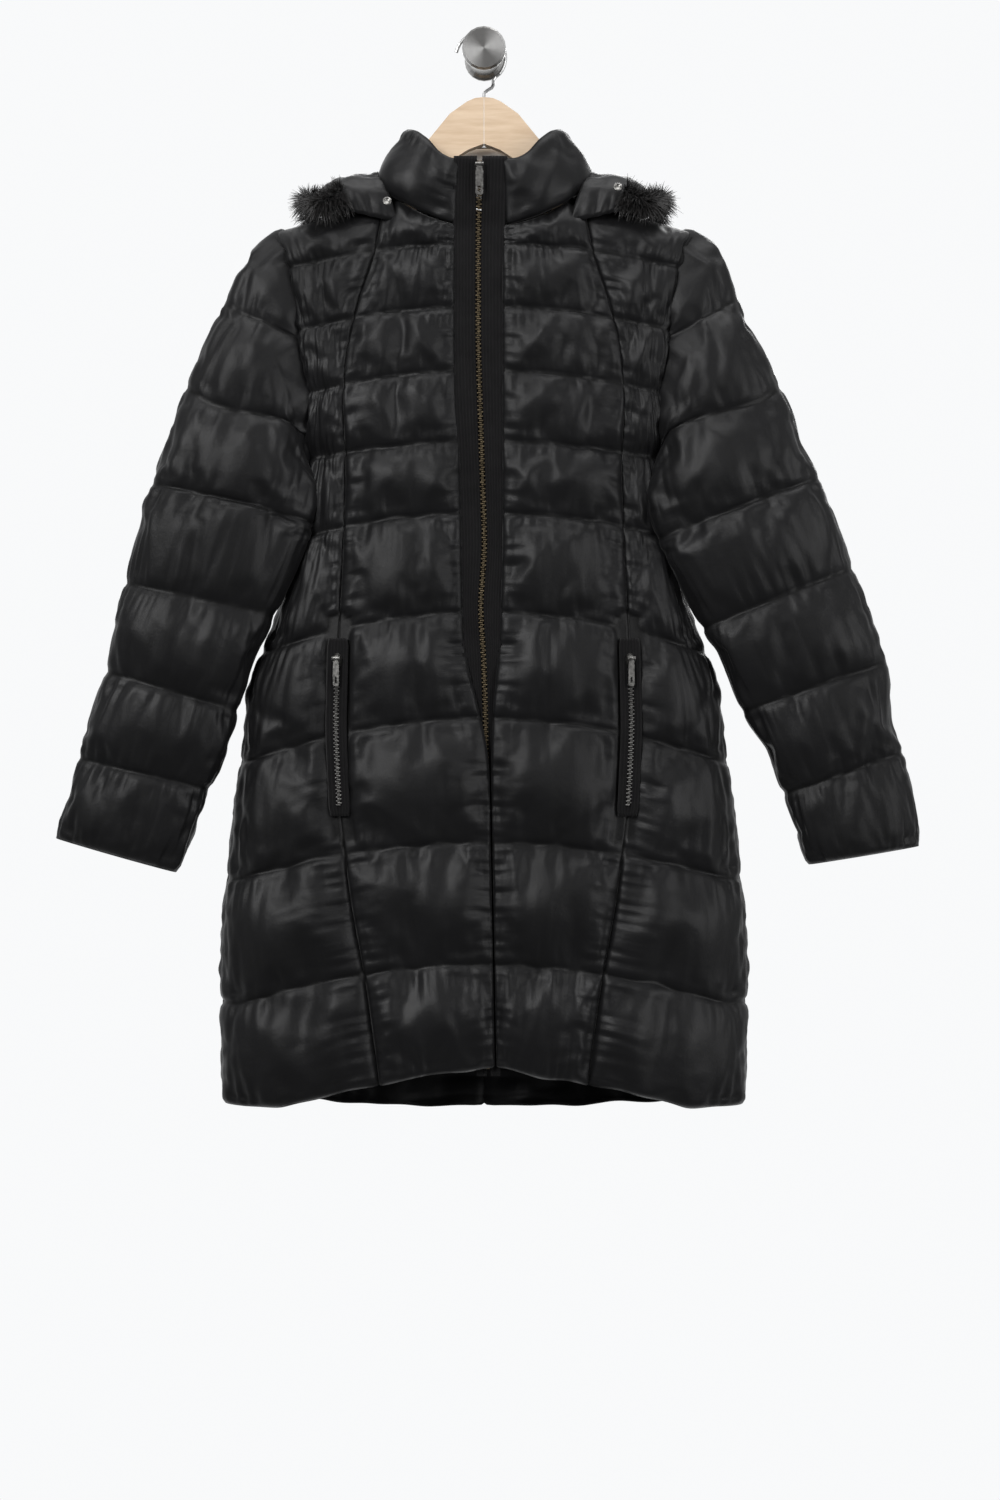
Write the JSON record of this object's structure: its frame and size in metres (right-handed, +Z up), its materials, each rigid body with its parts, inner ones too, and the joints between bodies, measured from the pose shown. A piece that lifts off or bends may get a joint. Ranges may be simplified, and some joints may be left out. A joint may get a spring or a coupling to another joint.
{
  "type": "long puffer coat on a wooden hanger",
  "caption": "Long quilted puffer coat with stand collar, fur-trimmed hood behind, zip front and zip pockets, hung open-hemmed on a wooden hanger from a round wall knob.",
  "frame": {"origin": "centre of the wall knob's flat back face, where it meets the wall", "axes": "+Z up, +X to the right as seen from the front, +Y towards the wall"},
  "size_m": [0.8539, 0.1359, 1.084],
  "materials": {
    "shell": "soft satin black nylon, quilted",
    "zip_band": "matte ribbed tape",
    "brass_teeth": "antique brass",
    "steel": "brushed",
    "beech": "pale oiled beech",
    "fur": "long dark pile",
    "grey_satin": "grey satin weave"
  },
  "bodies": {
    "root": {"front_centre_left": "shell", "front_side_left": "shell", "back_left": "shell", "front_centre_right": "shell", "front_side_right": "shell", "back_right": "shell", "sleeve_left": "shell", "sleeve_right": "shell", "zip_band_left": "zip_band", "zip_band_right": "zip_band", "collar": "shell", "neck_patch": "grey_satin", "hood": "shell", "hood_corner_left": "shell", "hood_corner_right": "shell", "fur_trim": "fur", "zip_chain": "brass_teeth", "hanger_arm_left": "beech", "hanger_arm_right": "beech", "hanger_hook": "steel", "wall_knob": "steel", "pocket_tape_left": "zip_band", "pocket_chain_left": "steel", "pocket_tape_right": "zip_band", "pocket_chain_right": "steel", "zip_slider": "steel", "pocket_left_slider": "steel", "pocket_right_slider": "steel"},
    "zip_pull": {"zip_pull": "steel"},
    "pocket_left_pull": {"pocket_left_pull": "steel"},
    "pocket_right_pull": {"pocket_right_pull": "steel"}
  },
  "joints": [
    {"name": "zip_pull_swing", "type": "hinge", "parent": "root", "child": "zip_pull", "pos_m": [-0.00428, -0.10678, -0.125], "axis": [-1, 0, 0], "range_deg": [0, 150]},
    {"name": "pocket_left_pull_swing", "type": "hinge", "parent": "root", "child": "pocket_left_pull", "pos_m": [-0.14511, -0.11334, -0.612], "axis": [-0.989, 0.1476, 0], "range_deg": [0, 150]},
    {"name": "pocket_right_pull_swing", "type": "hinge", "parent": "root", "child": "pocket_right_pull", "pos_m": [0.14511, -0.11334, -0.612], "axis": [-0.989, -0.1476, 0], "range_deg": [0, 150]}
  ]
}
